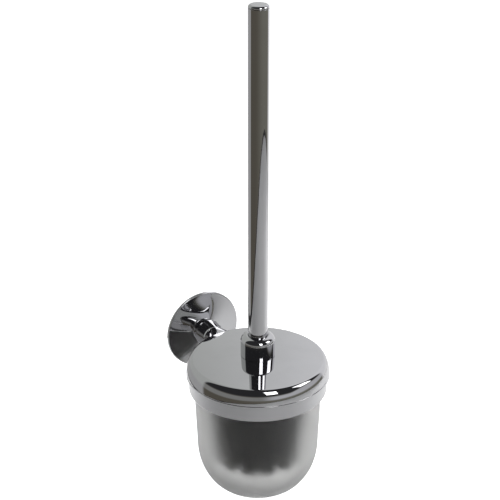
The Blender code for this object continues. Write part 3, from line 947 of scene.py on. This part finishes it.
class BRUSHSET_OT_bristles(bpy.types.Operator):
    """Rows of dark bristles and the short tufts at the brush's end"""

    bl_idname = "brushset.bristles"
    bl_label = "Bristles"

    def execute(self, context):
        tufts = TuftTree()
        settings = sizes()
        names = [f"bristle_row_{i + 1}" for i in range(CAD_ROWS)]
        first, second = middle(names[0]), middle(names[1])
        values = {
            "Root Radius": CORE_R - 0.6 * MM,
            "Bristle Length": radius(names[0]) - CORE_R + 5.0 * MM,
            "Length Step": -0.9 * MM,
            "Row Pitch": first.z - second.z,
            "First Row": first.z,
            "Spread": 0.36,
            "Droop": 0.0,
            "Droop Step": 0.0,
            "Thickness": settings.bristle,
            "Rows": settings.rows,
            "Tufts": settings.tufts,
            "Bristles": settings.bristles,
            "Seed": settings.seed,
            "Material": material("bristle"),
        }
        piece("bristle_rows", tufts.mesh("bristle_rows", values), "brush", "bristle", *names)
        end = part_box("brush_core")[0].z
        values.update({
            "Root Radius": 6.0 * MM,
            "Bristle Length": 18.0 * MM,
            "Length Step": 0.0,
            "Row Pitch": -0.2 * MM,
            "First Row": end + 6.0 * MM,
            "Droop": 1.1,
            "Droop Step": -0.3,
            "Rows": 3,
            "Bristles": settings.bristles // 2,
        })
        piece("bristle_end", tufts.mesh("bristle_end", values), "brush", "bristle", "bristle_tip")
        return {"FINISHED"}


class BRUSHSET_OT_carried(bpy.types.Operator):
    """Finishes on the pieces that keep their own shape"""

    bl_idname = "brushset.carried"
    bl_label = "Carried-over Pieces"

    KEPT = {
        "steel": (
            "wall_plate",
            "wall_post",
            "grub_screw",
            "arm_stud",
            "lid_washer",
            "lid_nut",
            "handle_insert",
            "brush_rod",
        ),
        "clear_plastic": ("seat_ring", "lid_liner"),
        "brush_core": ("brush_core",),
    }

    def execute(self, context):
        for slot, names in self.KEPT.items():
            for name in names:
                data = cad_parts[name].data
                data.materials.clear()
                data.materials.append(material(slot))
        return {"FINISHED"}


class BRUSHSET_OT_stage(bpy.types.Operator):
    """Floor, light and camera"""

    bl_idname = "brushset.stage"
    bl_label = "Stage"

    FLOOR_REACH = 4.0
    SLAB_THICKNESS = 4 * MM
    TABLE_TOWARD, TABLE_RIGHT = 0.10, 0.27
    TABLE_DROP, EDGE_DROP = 2 * MM, 6 * MM
    EDGE_WIDTH = 35 * MM

    # Name, turn to the right and lift in degrees, distance, size, brightness, whether the chrome shows it.
    SOFT_BOXES = (
        ("front_box", 22.0, 36.0, 0.9, (0.26, 0.40), 4.0, True),
        ("right_box", 84.0, 38.0, 0.9, (0.36, 0.36), 3.2, True),
        ("side_light", 100.0, 42.0, 1.0, (0.7, 0.5), 2.0, False),
    )

    # The low light over the table, behind the set.
    TABLE_LIGHT_SIZE = (1.3, 0.6)
    TABLE_LIGHT_SPREAD = math.radians(80)
    TABLE_LIGHT_POWER = 1.9
    TABLE_LIGHT_BACK, TABLE_LIGHT_LIFT = 0.34, 0.42

    # Colours of the studio, each from the left to the right of the set.
    ROOM = ((0.115, 0.105, 0.085, 1), (0.20, 0.195, 0.165, 1))
    GLOW = ((0.26, 0.26, 0.25, 1), (0.56, 0.56, 0.58, 1))
    WALL = ((0.50, 0.515, 0.495, 1), (0.88, 0.88, 0.90, 1))
    LOW_WALL = ((0.44, 0.44, 0.44, 1), (0.95, 0.95, 0.95, 1))
    CEILING = (0.03, 0.03, 0.032, 1)
    WHITE = (1.0, 1.0, 1.0, 1)

    def execute(self, context):
        stage = staging()
        context.scene.view_settings.view_transform = "Standard"
        self.toward = Vector((math.sin(stage.azimuth), -math.cos(stage.azimuth), 0.0))
        self.right = Vector((math.cos(stage.azimuth), math.sin(stage.azimuth), 0.0))
        self.camera(stage)
        self.floor(stage)
        self.surroundings()
        for box in self.SOFT_BOXES:
            self.soft_box(*box)
        self.table_light(stage)
        return {"FINISHED"}

    def camera(self, stage):
        data = bpy.data.cameras.new("camera")
        data.lens = stage.lens
        data.sensor_width = 36.0
        data.clip_end = 50.0
        made = bpy.data.objects.new("camera", data)
        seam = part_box("collar")[0].z - SEAM_BELOW_COLLAR
        place = AXIS + self.toward * stage.distance - self.right * stage.aside
        made.location = (place.x, place.y, seam + stage.height)
        made.rotation_euler = (math.pi / 2 - stage.pitch, 0.0, stage.azimuth)
        bpy.context.scene.collection.objects.link(made)
        bpy.context.scene.camera = made

    def floor(self, stage):
        """A pale floor that only the camera sees, and a round table top that only the set sees."""
        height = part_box("glass_tumbler")[0].z - stage.floor_drop
        wide = self.slab("floor", AXIS, self.FLOOR_REACH, height)
        wide.visible_glossy = False
        wide.visible_transmission = False
        wide.visible_diffuse = False
        wide.visible_shadow = False
        near = AXIS + self.toward * self.TABLE_TOWARD + self.right * self.TABLE_RIGHT
        table = self.slab("table_top", near, stage.table_radius, height - self.TABLE_DROP)
        table.visible_camera = False
        edge = self.slab("table_edge", near, stage.table_radius + self.EDGE_WIDTH, height - self.EDGE_DROP)
        edge.visible_camera = False

    def slab(self, name, centre, reach, height):
        profile = [(0.0, 0.0), (reach, 0.0), (reach, -self.SLAB_THICKNESS), (0.0, -self.SLAB_THICKNESS)]
        turn = Matrix.Translation((centre.x, centre.y, height))
        mesh = shaded(turned_shape(profile, FLOOR_FACETS, turn), name)
        mesh.materials.append(material(name))
        made = bpy.data.objects.new(name, mesh)
        bpy.context.scene.collection.objects.link(made)
        return made

    def soft_box(self, name, turn, lift, distance, size, brightness, mirrored):
        """An area light that looks at the lid's middle, turned to the right from the camera's side."""
        data = bpy.data.lights.new(name, "AREA")
        data.shape = "RECTANGLE"
        data.size, data.size_y = size
        data.energy = brightness * math.pi * size[0] * size[1]
        made = bpy.data.objects.new(name, data)
        flat = self.toward * math.cos(math.radians(turn)) + self.right * math.sin(math.radians(turn))
        away = flat * math.cos(math.radians(lift)) + Vector((0.0, 0.0, math.sin(math.radians(lift))))
        made.location = AXIS + away * distance
        made.rotation_euler = away.to_track_quat("Z", "Y").to_euler()
        made.visible_camera = False
        made.visible_glossy = mirrored
        bpy.context.scene.collection.objects.link(made)

    def table_light(self, stage):
        """A low, wide light over the far half of the table."""
        data = bpy.data.lights.new("table_light", "AREA")
        data.shape = "RECTANGLE"
        data.size, data.size_y = self.TABLE_LIGHT_SIZE
        data.spread = self.TABLE_LIGHT_SPREAD
        data.energy = self.TABLE_LIGHT_POWER
        made = bpy.data.objects.new("table_light", data)
        place = AXIS - self.toward * self.TABLE_LIGHT_BACK
        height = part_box("glass_tumbler")[0].z - stage.floor_drop + self.TABLE_LIGHT_LIFT
        made.location = (place.x, place.y, height)
        made.rotation_euler = (0.0, 0.0, stage.azimuth)
        made.visible_camera = False
        made.visible_glossy = False
        bpy.context.scene.collection.objects.link(made)

    def surroundings(self):
        """White behind the set, and a studio for the chrome to mirror."""
        world = bpy.data.worlds.new("studio")
        bpy.context.scene.world = world
        world.use_nodes = True
        tree = world.node_tree
        tree.nodes.clear()
        heading = add_node(tree, "ShaderNodeTexCoord").outputs["Generated"]
        parts = add_node(tree, "ShaderNodeSeparateXYZ", None, {0: heading})
        x, y, up = (Value(tree, socket) for socket in parts.outputs)
        front = x * self.toward.x + y * self.toward.y
        side = x * self.right.x + y * self.right.y
        room = blend(tree, side.ramp(-0.6, 1.0), *self.ROOM)
        glow = blend(tree, side.ramp(0.05, 0.5), *self.GLOW)
        lifted = up - side.ramp(0.75, 1.0) * 0.2
        band = (up - side * 0.04).ramp(-0.12, -0.04) * lifted.ramp(0.26, 0.12)
        lit_room = blend(tree, band, room, glow)
        in_front = blend(tree, lifted.ramp(0.15, 0.3), lit_room, self.CEILING)
        wall = blend(tree, side.ramp(-0.25, 0.3), *self.WALL)
        low_wall = blend(tree, side.ramp(-0.12, 0.25), *self.LOW_WALL)
        in_back = blend(tree, up.ramp(0.05, -0.15), wall, low_wall)
        behind = (front + side * 0.25 + 0.28).ramp(0.06, -0.06)
        seen = blend(tree, behind, in_front, in_back)
        camera = Value(tree, add_node(tree, "ShaderNodeLightPath").outputs["Is Camera Ray"])
        picked = blend(tree, camera, seen, self.WHITE)
        back = add_node(tree, "ShaderNodeBackground", None, {"Color": picked, "Strength": 1.0})
        add_node(tree, "ShaderNodeOutputWorld", None, {"Surface": back.outputs[0]})


OPERATORS = (
    BRUSHSET_OT_rosette,
    BRUSHSET_OT_arm,
    BRUSHSET_OT_ring,
    BRUSHSET_OT_tumbler,
    BRUSHSET_OT_lid,
    BRUSHSET_OT_handle,
    BRUSHSET_OT_bristles,
    BRUSHSET_OT_carried,
    BRUSHSET_OT_stage,
)


class BRUSHSET_PT_panel(bpy.types.Panel):
    """Sizes, finishes and steps of the brush set"""

    bl_idname = "BRUSHSET_PT_panel"
    bl_label = "Brush Set"
    bl_space_type = "VIEW_3D"
    bl_region_type = "UI"
    bl_category = "Brush Set"

    def draw(self, context):
        scene = context.scene
        for group in (scene.brush_set_sizes, scene.brush_set_finishes, scene.brush_set_stage):
            box = self.layout.box()
            for name in group.bl_rna.properties.keys():
                if name not in {"rna_type", "name"}:
                    box.prop(group, name)
        for operator in OPERATORS:
            self.layout.operator(operator.bl_idname)


CLASSES = (BrushSetSizes, BrushSetFinishes, BrushSetStage, *OPERATORS, BRUSHSET_PT_panel)


def register():
    for item in CLASSES:
        bpy.utils.register_class(item)
    bpy.types.Scene.brush_set_sizes = PointerProperty(type=BrushSetSizes)
    bpy.types.Scene.brush_set_finishes = PointerProperty(type=BrushSetFinishes)
    bpy.types.Scene.brush_set_stage = PointerProperty(type=BrushSetStage)


def unregister():
    del bpy.types.Scene.brush_set_stage
    del bpy.types.Scene.brush_set_finishes
    del bpy.types.Scene.brush_set_sizes
    for item in reversed(CLASSES):
        bpy.utils.unregister_class(item)


def main():
    register()
    bpy.ops.brushset.rosette()
    bpy.ops.brushset.arm()
    bpy.ops.brushset.ring()
    bpy.ops.brushset.tumbler()
    bpy.ops.brushset.lid()
    bpy.ops.brushset.handle()
    bpy.ops.brushset.bristles()
    bpy.ops.brushset.carried()
    bpy.ops.brushset.stage()


if __name__ == "__main__":
    main()
